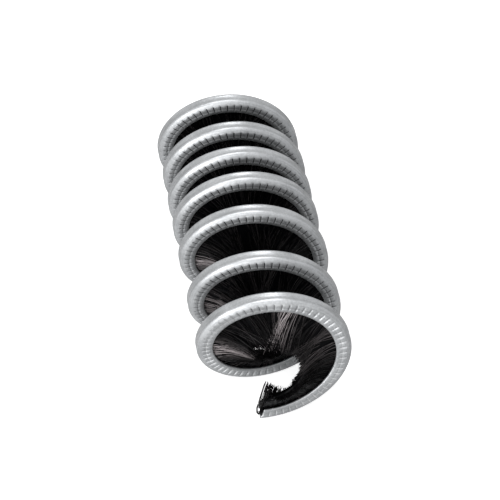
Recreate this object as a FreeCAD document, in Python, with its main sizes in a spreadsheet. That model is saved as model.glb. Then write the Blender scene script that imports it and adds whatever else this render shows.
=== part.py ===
import FreeCAD, Part
import math
import os
import Sketcher
from FreeCAD import Placement, Rotation, Vector

# A rope brush: a strip brush wound into a left-handed coil, with its bristles pointing inwards.
# The coil's axis is Y, its near end faces -Y, and the origin is the middle of the overall length.

# Driving dimensions, in millimetres, degrees and counts.
DIMENSIONS = {
    "outside_diameter": 36.0,  # over the back of the wound strip
    "strip_width": 4.0,  # over the flanks, along the coil's axis
    "strip_depth": 3.8,  # from the back to the mouth
    "sheet_thickness": 0.45,
    "back_width": 1.8,  # of the flat back
    "shoulder_depth": 2.3,  # from the back to where a shoulder has curved into its flank
    "wire_diameter": 1.2,
    "wire_gap": 0.15,  # between the wire and the filaments folded round it
    "fold_thickness": 0.5,  # filaments behind the wire
    "back_gap": 0.35,  # between the fold and the back of the strip
    "flank_gap": 0.28,  # between the filaments and each flank
    "bore_diameter": 10.8,  # between the tips, where the rope runs
    "bend_radius": 10.0,  # where a bristle bends, halfway to its tip
    "bend_sweep": 1.4,  # how far it leans towards the near end there
    "tip_sweep": 4.5,  # how far it leans at the tip
    "tip_thickness": 3.4,  # of the bristles at the tips, along the axis
    "tufts_per_turn": 24,
    "tuft_slit": 0.15,  # between one tuft and the next
    "end_overhang": 0.9,  # how far the wire and the tufts stand out of the cut strip
    "start_angle": 194.5,  # where the far end is cut, clockwise from the top
    "lead_0": 9.0,  # lead at the far end, and then after each turn
    "lead_1": 10.2,
    "lead_2": 8.6,
    "lead_3": 8.5,
    "lead_4": 10.7,
    "lead_5": 16.0,
    "lead_6": 12.2,
    "lead_7": 13.0,
    "steps_per_turn": 36,  # sections of the wound strip and wire
}

# Radii and half widths that several pieces share, as formulas of the sheet's cells.
BACK = "Sizes.outside_diameter / 2"
MOUTH = f"{BACK} - Sizes.strip_depth"
HALF_WIDTH = "Sizes.strip_width / 2"
INSIDE = f"{HALF_WIDTH} - Sizes.sheet_thickness"
BUNDLE = f"{INSIDE} - Sizes.flank_gap"
BACK_HALF = "Sizes.back_width / 2"
FOLD_BACK = f"{BACK} - Sizes.sheet_thickness - Sizes.back_gap"
HOLE = "(Sizes.wire_diameter / 2 + Sizes.wire_gap)"
WIRE_CENTRE = f"{FOLD_BACK} - Sizes.fold_thickness - {HOLE}"
TIP = "Sizes.bore_diameter / 2"
TUFT_SLOPE = "tan(180 / Sizes.tufts_per_turn)"


def shoulder(angle):
    """A corner of the strip's shoulder, which is a quarter of an ellipse, at this angle from the back."""
    radius = f"{BACK} - Sizes.shoulder_depth * (1 - cos({angle}))"
    return radius, f"{BACK_HALF} + ({HALF_WIDTH} - {BACK_HALF}) * sin({angle})"


LOW_SHOULDER, LOW_HALF = shoulder(60)
LOW_BUNDLE = f"{LOW_HALF} - Sizes.sheet_thickness - Sizes.flank_gap"
FOLD_HALF = f"{BACK_HALF} - Sizes.sheet_thickness"

doc = FreeCAD.newDocument("RopeBrush")
sheet = doc.addObject("Spreadsheet::Sheet", "Sizes")
for row, (alias, value) in enumerate(DIMENSIONS.items(), start=1):
    sheet.set(f"A{row}", alias)
    sheet.set(f"B{row}", str(value))
    sheet.setAlias(f"B{row}", alias)
doc.recompute()


def worked_out(formula):
    """The number that a formula of the sheet's cells gives."""
    return float(sheet.evalExpression(formula))


def add_outline(sketch, corners):
    """Adds a closed polygon whose corners are pairs of formulas, each bound to the sheet."""
    first = sketch.GeometryCount
    points = [Vector(worked_out(x), worked_out(y), 0) for x, y in corners]
    for start, end in zip(points, points[1:] + points[:1]):
        sketch.addGeometry(Part.LineSegment(start, end), False)
    for number, (point, formulas) in enumerate(zip(points, corners)):
        line = first + number
        before = line - 1 if number else first + len(corners) - 1
        sketch.addConstraint(Sketcher.Constraint("Coincident", before, 2, line, 1))
        for kind, distance, formula in zip(("DistanceX", "DistanceY"), point, formulas):
            constraint = Sketcher.Constraint(kind, -1, 1, line, 1, distance)
            index = sketch.addConstraint(constraint)
            sketch.setExpression(f"Constraints[{index}]", formula)


def origin_plane(body, role):
    return next(plane for plane in body.Origin.OriginFeatures if plane.Role == role)


def body_sketch(body, name, role):
    """An empty sketch on one of the body's own origin planes."""
    sketch = body.newObject("Sketcher::SketchObject", name)
    sketch.AttachmentSupport = [(origin_plane(body, role), "")]
    sketch.MapMode = "FlatFace"
    return sketch


# The winding. A turn is counted from the far end, and the lead changes evenly from each
# whole turn to the next, because the coil was pulled out by hand.
LEADS = [worked_out(f"Sizes.{alias}") for alias in DIMENSIONS if alias.startswith("lead_")]
TURNS = len(LEADS) - 1
TUFTS = round(worked_out("Sizes.tufts_per_turn"))
STEPS = round(worked_out("Sizes.steps_per_turn"))
FLAT = 1e-7  # corners nearer than this to one plane share a face


def lead_at(turn):
    whole = min(int(turn), TURNS - 1)
    return LEADS[whole] + (LEADS[whole + 1] - LEADS[whole]) * (turn - whole)


def advance(turn):
    """How far along the axis the winding has come from the far end."""
    whole = min(int(turn), TURNS - 1)
    finished = sum((LEADS[i] + LEADS[i + 1]) / 2 for i in range(whole))
    return finished + (LEADS[whole] + lead_at(turn)) / 2 * (turn - whole)


START_ANGLE = worked_out("Sizes.start_angle")
OVERHANG = worked_out(f"Sizes.end_overhang / ({WIRE_CENTRE})") / (2 * math.pi)  # in turns
FAR_REACH = worked_out(HALF_WIDTH)
NEAR_REACH = advance(TURNS) + worked_out("Sizes.tip_sweep + Sizes.tip_thickness / 2")
FAR_SECTION = (NEAR_REACH - FAR_REACH) / 2


def section_place(turn):
    """Where a section lies: its X points outwards, its Y to the near end, its Z along the strip."""
    angle = math.radians(START_ANGLE + 360 * turn)
    outwards = Vector(math.sin(angle), 0, math.cos(angle))
    near = Vector(0, -1, 0)
    turned = Rotation(outwards, near, outwards.cross(near), "XYZ")
    return Placement(Vector(0, FAR_SECTION - advance(turn), 0), turned)


def with_overhang(turn, overhang):
    """The turns from 0 to the last, spread evenly so that they go on past both ends."""
    return turn + overhang * (2 * turn / TURNS - 1)


def flat_faces(corners):
    """One face on four corners that lie in a plane, or else two, split along a diagonal."""
    a, b, c, d = corners
    normal = (b - a).cross(c - a).normalize()
    groups = [(a, b, c, d)] if abs(normal.dot(d - a)) < FLAT else [(a, b, c), (a, c, d)]
    return [Part.Face(Part.makePolygon([*group, group[0]])) for group in groups]


def wound(section, overhang):
    """A solid that joins copies of a section along the winding, its mouth turned to the axis.
    The overhang is how many turns it goes on past each cut end of the strip."""
    outline = [vertex.Point for vertex in section.Shape.Wires[0].OrderedVertexes]
    rings = []
    for step in range(TURNS * STEPS + 1):
        place = section_place(with_overhang(step / STEPS, overhang))
        rings.append([place.multVec(corner) for corner in outline])
    faces = [Part.Face(Part.makePolygon([*ring, ring[0]])) for ring in (rings[0], rings[-1])]
    for ring, following in zip(rings, rings[1:]):
        for side in range(len(outline)):
            faces += flat_faces((ring[side - 1], ring[side], following[side], following[side - 1]))
    shell = Part.makeShell(faces)
    shell.sewShape()
    return Part.Solid(shell)


# Strip: a U-channel with a flat back and sloping shoulders.
near_side = [
    (BACK, BACK_HALF),
    shoulder(30),
    (LOW_SHOULDER, LOW_HALF),
    (MOUTH, HALF_WIDTH),
    (MOUTH, INSIDE),
    (LOW_SHOULDER, f"{LOW_HALF} - Sizes.sheet_thickness"),
    (f"{BACK} - Sizes.sheet_thickness", f"{BACK_HALF} - Sizes.sheet_thickness / 2"),
]
far_side = [(x, f"-({y})") for x, y in reversed(near_side)]
strip_section = doc.addObject("Sketcher::SketchObject", "StripSection")
add_outline(strip_section, near_side + far_side)

# Core wire: drawn with six flats, and held in the fold of the filaments.
WIRE_CORNERS = [f"{60 * corner}" for corner in range(6)]
wire_section = doc.addObject("Sketcher::SketchObject", "WireSection")
add_outline(
    wire_section,
    [
        (
            f"{WIRE_CENTRE} + Sizes.wire_diameter / 2 * cos({angle})",
            f"Sizes.wire_diameter / 2 * sin({angle})",
        )
        for angle in WIRE_CORNERS
    ],
)

# Tuft: a wedge of filaments, folded round the wire and bent towards the near end.
# Its X points outwards from the axis, its Y to the near end, and its Z along the strip.
tuft = doc.addObject("PartDesign::Body", "BristleTuft")
tuft_side = body_sketch(tuft, "TuftSide", "XY_Plane")
add_outline(
    tuft_side,
    [
        (FOLD_BACK, FOLD_HALF),
        (LOW_SHOULDER, LOW_BUNDLE),
        (MOUTH, BUNDLE),
        ("Sizes.bend_radius", f"Sizes.bend_sweep + ({BUNDLE} + Sizes.tip_thickness / 2) / 2"),
        (TIP, "Sizes.tip_sweep + Sizes.tip_thickness / 2"),
        (TIP, "Sizes.tip_sweep - Sizes.tip_thickness / 2"),
        ("Sizes.bend_radius", f"Sizes.bend_sweep - ({BUNDLE} + Sizes.tip_thickness / 2) / 2"),
        (MOUTH, f"-({BUNDLE})"),
        (LOW_SHOULDER, f"-({LOW_BUNDLE})"),
        (FOLD_BACK, f"-({FOLD_HALF})"),
    ],
)
add_outline(
    tuft_side,
    [
        (f"{WIRE_CENTRE} + {HOLE}", HOLE),
        (f"{WIRE_CENTRE} - {HOLE}", HOLE),
        (f"{WIRE_CENTRE} - {HOLE}", f"-{HOLE}"),
        (f"{WIRE_CENTRE} + {HOLE}", f"-{HOLE}"),
    ],
)
tuft_block = tuft.newObject("PartDesign::Pad", "TuftBlock")
tuft_block.Profile = tuft_side
tuft_block.SideType = "Symmetric"
tuft_block.setExpression("Length", f"2 * ({FOLD_BACK}) * {TUFT_SLOPE} - Sizes.tuft_slit")
doc.recompute()

tuft_plan = body_sketch(tuft, "TuftPlan", "XZ_Plane")
add_outline(
    tuft_plan,
    [
        ("0", "-Sizes.tuft_slit / 2"),
        (BACK, f"{BACK} * {TUFT_SLOPE} - Sizes.tuft_slit / 2"),
        ("0", f"{BACK} * {TUFT_SLOPE} - Sizes.tuft_slit / 2"),
    ],
)
tuft_taper = tuft.newObject("PartDesign::Pocket", "TuftTaper")
tuft_taper.Profile = tuft_plan
tuft_taper.Type = "ThroughAll"
tuft_taper.SideType = "Symmetric"
doc.recompute()
other_taper = tuft.newObject("PartDesign::Mirrored", "OtherTaper")
other_taper.Originals = [tuft_taper]
other_taper.MirrorPlane = (origin_plane(tuft, "XY_Plane"), [""])
tuft.Tip = other_taper
doc.recompute()


def check(part):
    """Stops the build if an object failed or its shape is empty or not valid."""
    if "Invalid" in part.State or "Error" in part.State:
        raise RuntimeError(f"{part.Label} failed: {part.getStatusString()}")
    if part.Shape.isNull() or not part.Shape.isValid():
        raise RuntimeError(f"{part.Label} has no valid shape")


def add_part(label, shape):
    part = doc.addObject("Part::Feature", label)
    part.Label = label
    part.Shape = shape
    return part


def tuft_place(number):
    """Where a tuft sits, tilted about its own radius to follow the wire's slope."""
    turn = with_overhang((number + 0.5) / TUFTS, OVERHANG)
    slope = lead_at(turn) / (2 * math.pi * worked_out(WIRE_CENTRE))
    tilt = Rotation(Vector(1, 0, 0), -math.degrees(math.atan(slope)))
    return section_place(turn) * Placement(Vector(), tilt)


def turn_of_tufts(turn):
    """The separate tufts of one turn, counted from 1 at the far end."""
    tufts = []
    for number in range((turn - 1) * TUFTS, turn * TUFTS):
        copy = tuft.Shape.Solids[0].copy()
        copy.Placement = tuft_place(number)
        tufts.append(copy)
    return Part.makeCompound(tufts)


parts = [
    add_part("channel_strip", wound(strip_section, 0)),
    add_part("core_wire", wound(wire_section, OVERHANG)),
]
for turn in range(1, TURNS + 1):
    parts.append(add_part(f"bristles_turn_{turn}", turn_of_tufts(turn)))
doc.recompute()

for item in doc.Objects:
    if hasattr(item, "Shape") and item.isDerivedFrom("PartDesign::Feature"):
        check(item)
for part in parts:
    check(part)

# The least gap between one turn of the strip and the next, measured at every section.
gaps = [
    advance(step / STEPS + 1) - advance(step / STEPS) - worked_out("Sizes.strip_width")
    for step in range((TURNS - 1) * STEPS + 1)
]
print(f"least gap between turns of the strip: {min(gaps):.2f} mm")

os.makedirs("parts", exist_ok=True)
for part in parts:
    part.Shape.exportStep(f"parts/{part.Label}.step")
    print(f"{part.Label}: {len(part.Shape.Solids)} solids, {part.Shape.Volume:.1f} mm3")
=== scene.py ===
import math

import bpy
import numpy as np
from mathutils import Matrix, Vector


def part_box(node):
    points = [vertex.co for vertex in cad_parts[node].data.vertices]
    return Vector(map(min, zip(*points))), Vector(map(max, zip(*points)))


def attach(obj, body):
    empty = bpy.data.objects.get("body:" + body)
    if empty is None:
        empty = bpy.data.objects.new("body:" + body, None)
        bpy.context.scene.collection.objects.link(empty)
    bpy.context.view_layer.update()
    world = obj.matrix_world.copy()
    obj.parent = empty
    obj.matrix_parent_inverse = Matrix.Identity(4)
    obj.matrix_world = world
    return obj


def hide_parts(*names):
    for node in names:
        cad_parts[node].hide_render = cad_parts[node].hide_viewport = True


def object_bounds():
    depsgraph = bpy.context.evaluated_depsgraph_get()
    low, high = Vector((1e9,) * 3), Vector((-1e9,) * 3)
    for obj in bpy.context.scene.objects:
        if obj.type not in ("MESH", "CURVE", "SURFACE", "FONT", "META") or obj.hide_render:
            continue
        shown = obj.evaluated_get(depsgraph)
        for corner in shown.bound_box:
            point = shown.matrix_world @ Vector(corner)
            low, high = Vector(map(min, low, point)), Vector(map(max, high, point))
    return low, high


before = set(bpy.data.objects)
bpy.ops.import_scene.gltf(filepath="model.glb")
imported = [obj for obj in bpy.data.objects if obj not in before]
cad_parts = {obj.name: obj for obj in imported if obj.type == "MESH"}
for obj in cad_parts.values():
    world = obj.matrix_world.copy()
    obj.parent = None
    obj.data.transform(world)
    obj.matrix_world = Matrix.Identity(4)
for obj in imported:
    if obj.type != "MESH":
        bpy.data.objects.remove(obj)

# A rope brush: a crimped strip brush wound into a left-handed coil, its bristles pointing inwards.
# The coil's axis is Y and its near end faces -Y. Sizes below are in millimetres.

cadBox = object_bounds()
mm = 0.001  # the scene itself is in metres
print("frame loaded:", ", ".join(sorted(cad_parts)))

winding = {
    "outsideRadius": 18.0,  # to the back of the strip
    "startAngle": 194.5,  # where the far end is cut, clockwise from the top
    "leads": (9.0, 10.2, 8.6, 8.5, 10.7, 16.0, 12.2, 13.0),  # at the far end, and after each turn
}
leads = np.array(winding["leads"])
turnCount = len(leads) - 1
turnStarts = np.concatenate(([0.0], np.cumsum((leads[1:] + leads[:-1]) / 2)))


def advanceAt(turn):
    # how far along the axis the winding has come, with the lead changing evenly over each turn
    whole = np.clip(np.floor(turn).astype(int), 0, turnCount - 1)
    part = turn - whole
    change = leads[whole + 1] - leads[whole]
    return turnStarts[whole] + leads[whole] * part + change * part**2 / 2


# Strip
strip = {
    "width": 4.0,  # over the flanks
    "depth": 3.8,  # from the back to the mouth
    "thickness": 0.45,
    "backWidth": 1.8,
    "backHollow": 0.12,  # how far rolling sinks the back between its two edges
    # one flank from the edge of the back to the lip, as radii and half widths: a tight bend, a
    # sloping shoulder, and a lip that is pressed in on the bristles
    "flank": (
        (18.0, 0.9),
        (17.93, 1.08),
        (17.75, 1.33),
        (16.85, 1.86),
        (16.4, 1.96),
        (15.6, 2.0),
        (14.2, 1.76),
    ),
    "shoulderPoints": (17.93, 17.75, 17.3),  # radii at which the shoulder is drawn
    "crimpedFrom": 0.3,  # beyond the edge of the back, where the rollers have left the flank matt
    "lipRound": 0.13,  # how far up the flank the lip is rounded
    "lipInset": 0.1,  # and how far it is rounded off at its end
    "innerBend": 16.65,  # radius at which the inside turns from flank to shoulder
    "teethPerTurn": 59,  # crimps along each flank
    "toothRadius": 16.2,  # at which the spacing of the crimps is worked out
    "notchTop": 16.9,  # radii between which the crimps run
    "notchFoot": 14.85,
    "grooveRadius": 15.76,  # of the line that crosses the crimps
    "notchHalfWidth": 0.18,  # of one crimp, along the strip
    "notchDepth": 0.22,
    "notchRampOut": 0.25,  # how far a crimp takes to reach its depth, at its outer end
    "notchRampIn": 0.2,
    "grooveHalfWidth": 0.19,
    "grooveDepth": 0.13,
    "pitDepth": 0.1,  # of the small mark between two crimps
    "lipShade": 0.42,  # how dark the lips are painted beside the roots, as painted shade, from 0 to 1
    "litNearFrom": 5.75,  # turn from which the painted shade in the crimps is lifted and a painted glint added, most of all low down
    "litNearBy": 6.15,
    "shadeLiftHigh": 0.45,  # share of the crimps' dark colour that is lifted at the top of a turn, where the turn is lit
    "shadeLiftLow": 1.5,  # and how much more of it at the bottom
}
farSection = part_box("channel_strip")[1].y / mm - strip["width"] / 2


def placed(turn, radius, across):
    # across runs from the middle of the strip towards the near end
    angle = np.radians(winding["startAngle"] + 360 * turn)
    y = farSection - advanceAt(turn) - across
    return np.stack((radius * np.sin(angle), y, radius * np.cos(angle)), axis=-1) * mm


# Materials
def srgb(code):
    channels = (int(code[start : start + 2], 16) / 255 for start in (1, 3, 5))
    linear = [c / 12.92 if c <= 0.04045 else ((c + 0.055) / 1.055) ** 2.4 for c in channels]
    return (*linear, 1.0)


def addNode(tree, kind, settings=None, links=None):
    node = tree.nodes.new("ShaderNode" + kind)
    for key, value in (settings or {}).items():
        if isinstance(key, int) or key in node.inputs:
            node.inputs[key].default_value = value
        else:
            setattr(node, key, value)
    for key, socket in (links or {}).items():
        tree.links.new(socket, node.inputs[key])
    return node


def newMaterial(name):
    material = bpy.data.materials.new(name)
    material.use_nodes = True
    material.node_tree.nodes.clear()
    return material, material.node_tree


def satinAluminium():
    # Aluminium strip, cold rolled and satin, then roll-formed and crimped: long soft highlights
    # that follow the strip, fine rolling lines along it, dark colour in the crimps that is partly
    # dust and partly painted shade, painted shade along the lips, and a painted glint in the
    # crimps low on the near turns.
    look = {
        "metal": "#b9bbbd",
        "duller": "#9a9c9e",
        # painted glint in the crimps low on the near turns
        "paintedGlint": "#e8e9ea",
        # dark colour in the crimps, partly dust and partly painted shade, and painted shade along
        # the lips
        "dustAndShade": "#1a1a1c",
        "roughness": 0.36,  # of the back, as rolled
        "crimpedRoughness": 0.5,  # of the flanks, which the crimping rollers leave matt
        "rollingLine": 0.3,  # width of a rolling line, drawn coarse enough to show
        "lineLength": 14.0,
        "cloud": 5.0,  # size of the cloudy patches left by handling
        "grain": 0.5,  # of the satin surface, drawn coarse enough to show
    }
    material, tree = newMaterial("satinAluminium")
    place = addNode(tree, "Attribute", {"attribute_name": "stripPlace"})
    dustShadeGlintMatt = addNode(tree, "Attribute", {"attribute_name": "dustShadeGlintMatt"})
    parts = addNode(tree, "SeparateXYZ", links={0: dustShadeGlintMatt.outputs["Vector"]})
    stretch = addNode(
        tree,
        "VectorMath",
        {"operation": "MULTIPLY", 1: (1 / look["lineLength"], 1 / look["rollingLine"], 0)},
        {0: place.outputs["Vector"]},
    )
    lines = addNode(
        tree,
        "TexNoise",
        {"Scale": 1.0, "Detail": 2.0, "Roughness": 0.6},
        {"Vector": stretch.outputs[0]},
    )
    here = addNode(tree, "TexCoord")
    clouds = addNode(
        tree,
        "TexNoise",
        {"Scale": 1 / (look["cloud"] * mm), "Detail": 3.0},
        {"Vector": here.outputs["Object"]},
    )
    grain = addNode(
        tree,
        "TexNoise",
        {"Scale": 1 / (look["grain"] * mm), "Detail": 2.0, "Roughness": 0.7},
        {"Vector": here.outputs["Object"]},
    )
    marks = addNode(
        tree, "Math", {"operation": "ADD"}, {0: clouds.outputs["Fac"], 1: lines.outputs["Fac"]}
    )
    marks = addNode(
        tree, "Math", {"operation": "ADD"}, {0: marks.outputs[0], 1: grain.outputs["Fac"]}
    )
    cloudy = addNode(
        tree,
        "MapRange",
        {"From Min": 1.2, "From Max": 1.8},
        {"Value": marks.outputs[0]},
    )
    tone = addNode(
        tree,
        "Mix",
        {"data_type": "RGBA", 6: srgb(look["metal"]), 7: srgb(look["duller"])},
        {0: cloudy.outputs[0]},
    )
    # painted glint, from the attribute's second channel
    glintAmount = addNode(
        tree,
        "MapRange",
        {"From Min": 0.1, "From Max": 0.9, "To Max": 0.7},
        {"Value": parts.outputs["Y"]},
    )
    bright = addNode(
        tree,
        "Mix",
        {"data_type": "RGBA", 7: srgb(look["paintedGlint"])},
        {0: glintAmount.outputs[0], 6: tone.outputs[2]},
    )
    # dark colour: partly dust in the crimps, and painted shade in the crimps and along the lips
    dustAndShade = addNode(
        tree,
        "MapRange",
        {"From Min": 0.15, "From Max": 0.75, "To Max": 0.85},
        {"Value": parts.outputs["X"]},
    )
    colour = addNode(
        tree,
        "Mix",
        {"data_type": "RGBA", 7: srgb(look["dustAndShade"])},
        {0: dustAndShade.outputs[0], 6: bright.outputs[2]},
    )
    matt = addNode(
        tree,
        "MapRange",
        {"To Min": look["roughness"], "To Max": look["crimpedRoughness"]},
        {"Value": parts.outputs["Z"]},
    )
    uneven = addNode(
        tree,
        "MapRange",
        {"From Min": 0.3, "From Max": 0.7, "To Min": -0.05, "To Max": 0.07},
        {"Value": lines.outputs["Fac"]},
    )
    rough = addNode(
        tree, "Math", {"operation": "ADD"}, {0: matt.outputs[0], 1: uneven.outputs[0]}
    )
    bump = addNode(
        tree,
        "Bump",
        {"Strength": 0.2, "Distance": 0.03 * mm},
        {"Height": marks.outputs[0]},
    )
    shader = addNode(
        tree,
        "BsdfPrincipled",
        {"Metallic": 0.75},
        {
            "Base Color": colour.outputs[2],
            "Roughness": rough.outputs[0],
            "Normal": bump.outputs[0],
        },
    )
    addNode(tree, "OutputMaterial", links={"Surface": shader.outputs[0]})
    return material


def drawnSteelWire():
    # Galvanised steel wire, drawn through a die: pale and smooth, with a bright end where it was
    # cut.
    look = {
        "zinc": "#c9cbce",
        "cutEnd": "#f2f3f4",
        "roughness": 0.35,
        "dieLine": 0.1,  # of the marks that the die leaves, drawn coarse enough to show
    }
    material, tree = newMaterial("drawnSteelWire")
    cut = addNode(tree, "Attribute", {"attribute_name": "cutEnd"})
    here = addNode(tree, "TexCoord")
    lines = addNode(
        tree,
        "TexNoise",
        {"Scale": 1 / (look["dieLine"] * mm), "Detail": 1.0},
        {"Vector": here.outputs["Object"]},
    )
    colour = addNode(
        tree,
        "Mix",
        {"data_type": "RGBA", 6: srgb(look["zinc"]), 7: srgb(look["cutEnd"])},
        {0: cut.outputs["Fac"]},
    )
    rough = addNode(
        tree,
        "MapRange",
        {"To Min": look["roughness"] - 0.08, "To Max": look["roughness"] + 0.08},
        {"Value": lines.outputs["Fac"]},
    )
    shader = addNode(
        tree,
        "BsdfPrincipled",
        {"Metallic": 1.0},
        {"Base Color": colour.outputs[2], "Roughness": rough.outputs[0]},
    )
    addNode(tree, "OutputMaterial", links={"Surface": shader.outputs[0]})
    return material


def extrudedNylon():
    # Black nylon filament, extruded and drawn: nearly black, with a glassy streak along each
    # filament, some filaments a little greyer than others, and patches of filaments painted pale
    # as a painted highlight.
    look = {
        "black": "#030304",
        # painted highlight on the filaments in the patches
        "sheen": "#b8b0b1",
        "roughness": 0.32,
        "ior": 1.53,
        "shine": 0.05,  # held low, so that the bundle as a whole stays black
    }
    material, tree = newMaterial("extrudedNylon")
    tone = addNode(tree, "Attribute", {"attribute_name": "filamentToneAndSheen"})
    colour = addNode(
        tree,
        "Mix",
        {"data_type": "RGBA", 6: srgb(look["black"]), 7: srgb(look["sheen"])},
        {0: tone.outputs["Fac"]},
    )
    rough = addNode(
        tree,
        "MapRange",
        {"To Min": look["roughness"] - 0.08, "To Max": look["roughness"] + 0.12},
        {"Value": tone.outputs["Fac"]},
    )
    shader = addNode(
        tree,
        "BsdfPrincipled",
        {"IOR": look["ior"], "Specular IOR Level": look["shine"]},
        {"Base Color": colour.outputs[2], "Roughness": rough.outputs[0]},
    )
    addNode(tree, "OutputMaterial", links={"Surface": shader.outputs[0]})
    return material


# Mesh helpers
def newPiece(name, points, faces, material, attributes):
    mesh = bpy.data.meshes.new(name)
    mesh.from_pydata(points.reshape(-1, 3).tolist(), [], faces)
    for label, kind, values in attributes:
        layer = mesh.attributes.new(label, kind, "POINT")
        key = "vector" if kind == "FLOAT_VECTOR" else "value"
        layer.data.foreach_set(key, np.asarray(values, np.float32).ravel())
    mesh.polygons.foreach_set("use_smooth", [True] * len(mesh.polygons))
    mesh.materials.append(material)
    mesh.update()
    piece = bpy.data.objects.new(name, mesh)
    bpy.context.scene.collection.objects.link(piece)
    return piece


def tubeFaces(rings, sides, first=0, capped=True):
    # quads that join rings of points, and one face at each end
    at = first + np.arange(rings * sides).reshape(rings, sides)
    around = np.roll(at, -1, axis=1)
    quads = np.stack((at[:-1], around[:-1], around[1:], at[1:]), axis=-1).reshape(-1, 4)
    faces = quads.tolist()
    if capped:
        faces += [at[0][::-1].tolist(), at[-1].tolist()]
    return faces


def halfAt(radius):
    # half the strip's width at this radius
    radii, halves = zip(*reversed(strip["flank"]))
    return float(np.interp(radius, radii, halves))


def buildStrip(material):
    outer, mouth = winding["outsideRadius"], winding["outsideRadius"] - strip["depth"]
    backHalf = strip["backWidth"] / 2
    top, foot, middle = strip["notchTop"], strip["notchFoot"], strip["grooveRadius"]

    # one side from the middle of the back to the inside: radius, half width, and how far
    # the crimp, the crossing groove and the pit reach there, from 0 to 1
    flank = [
        (outer - strip["backHollow"], 0.0, 0, 0, 0),
        (outer - 0.8 * strip["backHollow"], 0.7 * backHalf, 0, 0, 0),
        (outer, 0.97 * backHalf, 0, 0, 0),
    ]
    flank += [(radius, halfAt(radius), 0, 0, 0) for radius in (*strip["shoulderPoints"], top)]
    pressedBand = (
        (top - strip["notchRampOut"], 0.85, 0, 0),
        (middle + strip["grooveHalfWidth"], 1, 0, 0.3),
        (middle, 1, 1, 1),
        (middle - strip["grooveHalfWidth"], 1, 0, 0.3),
        (foot + strip["notchRampIn"], 0.85, 0, 0),
        (foot, 0, 0, 0),
        (mouth + strip["lipRound"], 0, 0, 0),
    )
    flank += [(radius, halfAt(radius), *reaches) for radius, *reaches in pressedBand]
    flank += [
        (mouth, halfAt(mouth) - strip["lipInset"], 0, 0, 0),
        (mouth + 0.03, halfAt(mouth) - strip["thickness"], 0, 0, 0),
        (strip["innerBend"], halfAt(strip["innerBend"]) - strip["thickness"], 0, 0, 0),
        (outer - strip["thickness"], backHalf - strip["thickness"] / 2, 0, 0, 0),
    ]
    nearSide = np.array(flank)
    farSide = nearSide[:0:-1] * (1, -1, 1, 1, 1)
    outline = np.concatenate((nearSide, farSide))
    radius, across, notch, groove, pit = outline.T

    # stations within one tooth, as shares of its length: the crimp lies at 0, the pit at 0.5
    toothLength = 2 * math.pi * strip["toothRadius"] / strip["teethPerTurn"]
    edge = strip["notchHalfWidth"] / toothLength
    stations = np.array([0.4 * edge, edge, 0.36, 0.5, 0.64, 1 - edge, 1 - 0.4 * edge])
    pressedHere = np.array([1.0, 0, 0, 0, 0, 0, 1.0])
    pitHere = np.array([0.0, 0, 0, 1, 0, 0, 0])
    teeth = strip["teethPerTurn"] * turnCount
    along = (np.arange(teeth)[:, None] + stations).ravel() / strip["teethPerTurn"]
    along = np.concatenate(([0.0], along, [turnCount]))
    crimps = np.concatenate(([1.0], np.tile(pressedHere, teeth), [1.0]))
    pits = np.concatenate(([0.0], np.tile(pitHere, teeth), [0.0]))

    press = np.maximum(
        crimps[:, None] * notch * strip["notchDepth"],
        np.maximum(groove * strip["grooveDepth"], pits[:, None] * pit * strip["pitDepth"]),
    )
    turn = np.repeat(along[:, None], len(outline), axis=1)
    ring = placed(turn, radius + 0 * turn, np.sign(across) * (np.abs(across) - press))
    # on the near turns, most of all low down, the painted shade is lifted from the crimps
    litNear = (turn - strip["litNearFrom"]) / (strip["litNearBy"] - strip["litNearFrom"])
    litNear = litNear.clip(0, 1)
    low = (1 - np.cos(np.radians(winding["startAngle"] + 360 * turn))) / 2
    kept = (1 - litNear * (strip["shadeLiftHigh"] + strip["shadeLiftLow"] * low)).clip(0, 1)
    inLip = np.clip((middle - radius) / (middle - foot), 0, 1)
    # the crimps are darkened, partly as dust and partly as painted shade, less where the near
    # turns are lit
    dustAndShadeMask = press / strip["notchDepth"] * kept
    # along the lips the colour is darkened as painted shade, except on the near turns
    dustAndShadeMask = np.maximum(dustAndShadeMask, strip["lipShade"] * inLip * (1 - litNear))
    # a painted glint in the crimps, low down on the near turns
    paintedGlint = press / strip["notchDepth"] * litNear * (2 * low).clip(0, 1)
    lengthAlong = turn * 2 * math.pi * outer
    acrossSheet = np.concatenate(([0.0], np.cumsum(np.hypot(np.diff(radius), np.diff(across)))))
    crimped = np.abs(across) > backHalf + strip["crimpedFrom"]
    place = np.stack((lengthAlong, acrossSheet + 0 * turn, 0 * turn), axis=-1)
    dustShadeGlintMatt = np.stack((dustAndShadeMask, paintedGlint, crimped + 0 * turn), axis=-1)
    faces = tubeFaces(len(along), len(outline))
    values = [("stripPlace", "FLOAT_VECTOR", place), ("dustShadeGlintMatt", "FLOAT_VECTOR", dustShadeGlintMatt)]
    return newPiece("strip", ring, faces, material, values)


# Core wire
wire = {
    "radius": 0.6,
    "centreRadius": 15.95,
    "overhang": 0.9,  # how far it stands out of the cut strip
    "cutEnd": 0.8,  # radius of a cut end, as a share of the wire's: a small chamfer is left
    "cutReach": 0.1,  # how far the chamfer reaches, as a share of the overhang
    "sides": 14,
    "ringsPerTurn": 48,
}
wireOverhang = wire["overhang"] / (2 * math.pi * wire["centreRadius"])


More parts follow.
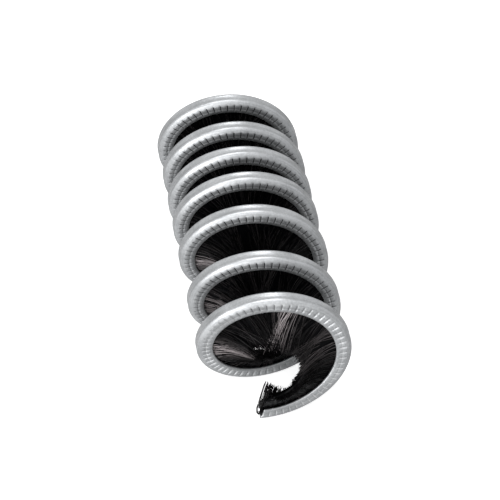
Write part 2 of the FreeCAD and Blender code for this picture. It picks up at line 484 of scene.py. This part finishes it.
def buildWire(material):
    count = wire["ringsPerTurn"] * turnCount + 1
    turns = np.linspace(-wireOverhang, turnCount + wireOverhang, count)
    turns = np.concatenate(([turns[0]], turns, [turns[-1]]))
    size = np.full(len(turns), wire["radius"])
    size[[0, -1]] *= wire["cutEnd"]
    turns[1] += wire["cutReach"] * wireOverhang
    turns[-2] -= wire["cutReach"] * wireOverhang
    around = np.linspace(0, 2 * math.pi, wire["sides"], endpoint=False)
    turn = np.repeat(turns[:, None], wire["sides"], axis=1)
    radius = wire["centreRadius"] + size[:, None] * np.cos(around)
    across = size[:, None] * np.sin(around)
    cut = np.zeros(turn.shape)
    cut[[0, 1, -2, -1]] = 1.0
    points = placed(turn, radius, across)
    faces = tubeFaces(len(turns), wire["sides"])
    return newPiece("wire", points, faces, material, [("cutEnd", "FLOAT", cut)])


# Bristles
bristles = {
    "seed": 41,
    "filamentsPerTurn": 1500,  # each is a hairpin with two legs
    "tuftsPerTurn": 24,
    "thickness": 0.16,  # of one filament
    "tipTaper": 0.6,  # its thickness at the tip, as a share
    "rootRadius": 14.9,  # where its legs leave the fold
    "mouthHalfWidth": 1.25,
    "tipRadius": 5.4,
    "tipSpread": 0.3,  # how unevenly the tips are cut
    "tipSweep": 4.5,  # how far the tips lean towards the near end
    "tipHalfWidth": 1.7,
    "sweepPower": 1.58,  # above 1, the filaments bend most near their tips
    "foldSizes": (0.8, 1.25),  # least and greatest radius of a fold round the wire
    "legPoints": (0.0, 0.12, 0.35, 0.58, 0.8, 1.0),  # as shares of the way from root to tip
    "fanPower": 1.2,  # above 1, a leg keeps to the mouth first and spreads further in
    "tipFan": (0.7, 1.1),  # least and greatest share of the spread that a tip takes
    "sweepSpread": 0.07,  # how unevenly the filaments sweep
    "leanSpread": 4.0,  # degrees that one filament leans sideways
    "tuftLean": 6.0,  # degrees that a whole tuft leans
    "endReach": 0.07,  # turns from a cut end in which the filaments splay outwards
    "endLean": 8.0,  # degrees that they lean past the cut end
    "endCalm": 0.7,  # share of every other lean that is lost at the near cut end
    "endUpright": 0.8,  # and share of the sweep
    "oldTone": 0.08,  # of the greyest filament outside the patches of painted highlight
    "oldRarity": 4,  # the higher, the fewer filaments come near to that tone
    "sheenShare": 0.7,  # of the filaments in a patch, that are painted pale as a painted highlight
    "sheenTones": (0.4, 1.0),
    "tipFade": 0.65,  # how much of its tone a filament loses towards the tip
    "overhang": 0.9,  # how far the fold stands out of the cut strip
    # the middle of the bundle, as radii and half widths
    "core": ((15.1, 0.9), (14.2, 0.95), (10.0, 1.0), (6.5, 0.9), (5.6, 0.0)),
    "coreSteps": 112,  # a turn
    "coreUneven": 0.08,  # how unevenly the filaments fill it
}
mouthRadius = winding["outsideRadius"] - strip["depth"]

# patches of filaments combed sideways and painted pale, a painted highlight: where, how far they
# reach along the winding in turns, how strong the painted highlight is, and how many degrees they
# lean
combedSheenPatches = (
    {"turn": 4.2, "reach": 0.04, "sheen": 0.9, "lean": -12},
    {"turn": 5.21, "reach": 0.05, "sheen": 0.9, "lean": -14},
    {"turn": 6.19, "reach": 0.04, "sheen": 1.0, "lean": 6},
    {"turn": 6.495, "reach": 0.028, "sheen": 1.0, "lean": -30},
    {"turn": 6.68, "reach": 0.05, "sheen": 0.35, "lean": -8},
)


def sweepAt(radius):
    # how far a bristle at this radius leans towards the near end
    inwards = np.clip((mouthRadius - radius) / (mouthRadius - bristles["tipRadius"]), 0, None)
    return bristles["tipSweep"] * inwards ** bristles["sweepPower"]


def legPath(chance, start, tip, lean, mouthAcross, tipAcross):
    # points of many legs, from the mouth to the tip: turn, radius and across
    toNearEnd = np.clip(1 - (turnCount - start) / bristles["endReach"], 0, None)
    toFarEnd = np.clip(1 - start / bristles["endReach"], 0, None)
    lean = lean * (1 - bristles["endCalm"] * toNearEnd)
    lean = lean + bristles["endLean"] * (toNearEnd - toFarEnd)
    shares = np.array(bristles["legPoints"])
    root = bristles["rootRadius"]
    radius = root + (tip[:, None] - root) * shares
    sideways = (root - radius) * np.tan(np.radians(lean))[:, None] / radius
    turn = start[:, None] + sideways / (2 * math.pi)
    fan = shares ** bristles["fanPower"]
    across = mouthAcross[:, None] * (1 - fan) + tipAcross[:, None] * fan
    sweep = 1 + chance.normal(0, bristles["sweepSpread"], len(start))
    sweep = sweep * (1 - bristles["endUpright"] * np.clip(toNearEnd, 0, 1))
    return turn, radius, across + sweepAt(radius) * sweep[:, None]


def buildBristles(number, material):
    # number counts the turns from 1 at the far end
    chance = np.random.default_rng(bristles["seed"] + number)
    count = bristles["filamentsPerTurn"]
    overhang = bristles["overhang"] / (2 * math.pi * wire["centreRadius"])
    first = number - 1 - (overhang if number == 1 else 0)
    last = number + (overhang if number == turnCount else 0)
    start = np.sort(chance.uniform(first, last, count))
    tuft = np.floor((start - first) / (last - first) * bristles["tuftsPerTurn"]).astype(int)
    tuft = np.clip(tuft, 0, bristles["tuftsPerTurn"] - 1)

    # how strong the painted highlight is on each filament, and how far its patch combs it sideways
    sheen, patchLean = np.zeros(count), np.zeros(count)
    for patch in combedSheenPatches:
        near = np.exp(-(((start - patch["turn"]) / patch["reach"]) ** 2))
        sheen = np.maximum(sheen, patch["sheen"] * near)
        patchLean += patch["lean"] * near

    legs = []
    for side in (1, -1):
        tuftLean = chance.normal(0, bristles["tuftLean"], bristles["tuftsPerTurn"])[tuft]
        lean = tuftLean + patchLean + chance.normal(0, bristles["leanSpread"], count)
        tip = bristles["tipRadius"] + chance.normal(0, bristles["tipSpread"], count)
        depth = np.sqrt(chance.uniform(0, 1, count))  # most filaments lie near the outside
        mouthAcross = side * bristles["mouthHalfWidth"] * depth
        tipAcross = side * bristles["tipHalfWidth"] * depth
        tipAcross = tipAcross * chance.uniform(*bristles["tipFan"], count)
        legs.append(legPath(chance, start, tip, lean, mouthAcross, tipAcross))

    # the fold round the wire joins the two legs
    turned = np.radians([-60, 0, 60])
    foldSize = chance.uniform(*bristles["foldSizes"], count)[:, None]
    foldRadius = wire["centreRadius"] + foldSize * np.cos(turned)
    foldAcross = foldSize * np.sin(turned)
    foldTurn = np.repeat(start[:, None], len(turned), axis=1)
    near, far = legs
    turn = np.concatenate((near[0][:, ::-1], foldTurn, far[0]), axis=1)
    radius = np.concatenate((near[1][:, ::-1], foldRadius, far[1]), axis=1)
    across = np.concatenate((near[2][:, ::-1], foldAcross[:, ::-1], far[2]), axis=1)
    line = placed(turn, radius, across)

    # three-sided filaments, thinner towards their tips
    along = np.gradient(line, axis=1)
    along /= np.linalg.norm(along, axis=2, keepdims=True)
    sideways = np.cross(along, np.array([0.31, 0.87, 0.39]))  # no filament runs this way
    sideways /= np.linalg.norm(sideways, axis=2, keepdims=True)
    upwards = np.cross(along, sideways)
    points = line.shape[1]
    size = np.full(points, bristles["thickness"] / 2 * mm)
    size[[0, -1]] *= bristles["tipTaper"]
    around = np.radians([0, 120, 240])
    spokes = (
        sideways[:, :, None, :] * np.cos(around)[None, None, :, None]
        + upwards[:, :, None, :] * np.sin(around)[None, None, :, None]
    )
    tubes = line[:, :, None, :] + spokes * size[None, :, None, None]
    one = tubeFaces(points, 3)
    quads = np.array([f for f in one if len(f) == 4])
    caps = np.array([f for f in one if len(f) == 3])
    offsets = (np.arange(count) * points * 3)[:, None, None]
    faces = (quads[None] + offsets).reshape(-1, 4).tolist()
    faces += (caps[None] + offsets).reshape(-1, 3).tolist()
    # filaments in the patches are painted pale as a painted highlight; the others get a slightly
    # greyer tone at random
    hasSheen = chance.uniform(0, 1, count) < bristles["sheenShare"]
    sheenTone = sheen * hasSheen * chance.uniform(*bristles["sheenTones"], count)
    old = bristles["oldTone"] * chance.uniform(0, 1, count) ** bristles["oldRarity"]
    tone = np.maximum(sheenTone, old)
    fade = 1 - bristles["tipFade"] * np.linspace(1, -1, points) ** 2
    tone = np.repeat(tone[:, None] * fade, 3, axis=1).ravel()

    # the middle of the bundle, which lets no light through
    steps = bristles["coreSteps"]
    core = np.array(bristles["core"])
    core = np.concatenate((core, core[-2::-1] * (1, -1)))
    coreTurn = np.repeat(np.linspace(first, last, steps + 1)[:, None], len(core), axis=1)
    ridges = 1 + bristles["coreUneven"] * chance.normal(0, 1, coreTurn.shape)
    coreRadius = core[:, 0] + 0 * coreTurn
    coreAcross = core[:, 1] * ridges + sweepAt(coreRadius)
    corePoints = placed(coreTurn, coreRadius, coreAcross)
    faces += tubeFaces(steps + 1, len(core), first=tubes.size // 3)
    everyPoint = np.concatenate((tubes.reshape(-1, 3), corePoints.reshape(-1, 3)))
    tones = np.concatenate((tone, np.zeros(corePoints.size // 3)))
    return newPiece(
        f"bristles_{number}", everyPoint, faces, material, [("filamentToneAndSheen", "FLOAT", tones)]
    )


aluminium = satinAluminium()
steel = drawnSteelWire()
nylon = extrudedNylon()
print("materials made")

stripPiece = buildStrip(aluminium)
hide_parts("channel_strip")
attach(stripPiece, "root")
print("strip:", len(stripPiece.data.polygons), "faces")

wirePiece = buildWire(steel)
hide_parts("core_wire")
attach(wirePiece, "root")
print("wire:", len(wirePiece.data.polygons), "faces")

for number in range(1, turnCount + 1):
    bristlePiece = buildBristles(number, nylon)
    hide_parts(f"bristles_turn_{number}")
    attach(bristlePiece, "root")
print("bristles:", len(bristlePiece.data.polygons), "faces a turn")


# Studio
studio = {
    "floor": "#cccccc",  # what it throws back at the part
    "floorSize": 6000,
    "floorGap": 0.2,  # below the part
    "floorGlow": 0.75,  # added for the camera alone, which sees a white floor
    "worldLight": 0.35,  # on the part, while the camera and reflections see a white world
}
scene = bpy.context.scene
scene.view_settings.view_transform = "Standard"
floorHeight = cadBox[0].z - studio["floorGap"] * mm
side = studio["floorSize"] / 2 * mm
corners = [(x, y, floorHeight) for x, y in ((-1, -1), (1, -1), (1, 1), (-1, 1))]
corners = [(x * side, y * side, z) for x, y, z in corners]
floorMesh = bpy.data.meshes.new("floor")
floorMesh.from_pydata(corners, [], [(0, 1, 2, 3)])
floor = bpy.data.objects.new("floor", floorMesh)
scene.collection.objects.link(floor)

floorMaterial, tree = newMaterial("paintedFloor")
path = addNode(tree, "LightPath")
glow = addNode(
    tree,
    "Math",
    {"operation": "MULTIPLY", 1: studio["floorGlow"]},
    {0: path.outputs["Is Camera Ray"]},
)
emission = addNode(tree, "Emission", {"Color": srgb("#ffffff")}, {"Strength": glow.outputs[0]})
matt = addNode(tree, "BsdfDiffuse", {"Color": srgb(studio["floor"])})
both = addNode(tree, "AddShader", links={0: emission.outputs[0], 1: matt.outputs[0]})
addNode(tree, "OutputMaterial", links={"Surface": both.outputs[0]})
floorMesh.materials.append(floorMaterial)

world = bpy.data.worlds.new("studio")
scene.world = world
world.use_nodes = True
world.node_tree.nodes.clear()
tree = world.node_tree
path = addNode(tree, "LightPath")
seen = addNode(
    tree,
    "Math",
    {"operation": "MAXIMUM"},
    {0: path.outputs["Is Camera Ray"], 1: path.outputs["Is Glossy Ray"]},
)
level = addNode(
    tree,
    "MapRange",
    {"To Min": studio["worldLight"], "To Max": 1.0},
    {"Value": seen.outputs[0]},
)
white = {"Color": srgb("#ffffff")}
background = addNode(tree, "Background", white, {"Strength": level.outputs[0]})
addNode(tree, "OutputWorld", links={"Surface": background.outputs[0]})

# softbox from above, a small one behind, and the key light at the near left, low down, so that
# each turn shades the right side of the turn behind it
lamps = {
    "softbox": {"at": (-120, -200, 500), "size": 400, "watts": 2.0},
    "back": {"at": (20, 200, 470), "size": 150, "watts": 0.5},
    "front": {"at": (-360, -400, 35), "size": 210, "watts": 3.2},
}
for name, lamp in lamps.items():
    light = bpy.data.lights.new(name, "AREA")
    light.energy = lamp["watts"]
    light.size = lamp["size"] * mm
    holder = bpy.data.objects.new(name, light)
    holder.location = Vector(lamp["at"]) * mm
    holder.rotation_euler = holder.location.to_track_quat("Z", "Y").to_euler()
    scene.collection.objects.link(holder)
print("studio lit")

# Camera at the photograph's viewing angle
view = {
    "lens": 125.9,
    "sensor": 36.0,
    "at": (-48.8, -279.4, 324.5),
    "azimuth": -9.82,
    "elevation": 48.8,
}
cameraData = bpy.data.cameras.new("camera")
cameraData.lens = view["lens"]
cameraData.sensor_width = view["sensor"]
camera = bpy.data.objects.new("camera", cameraData)
camera.location = Vector(view["at"]) * mm
camera.rotation_euler = (
    math.radians(90 - view["elevation"]),
    0,
    math.radians(view["azimuth"]),
)
scene.collection.objects.link(camera)
scene.camera = camera
print("camera set")
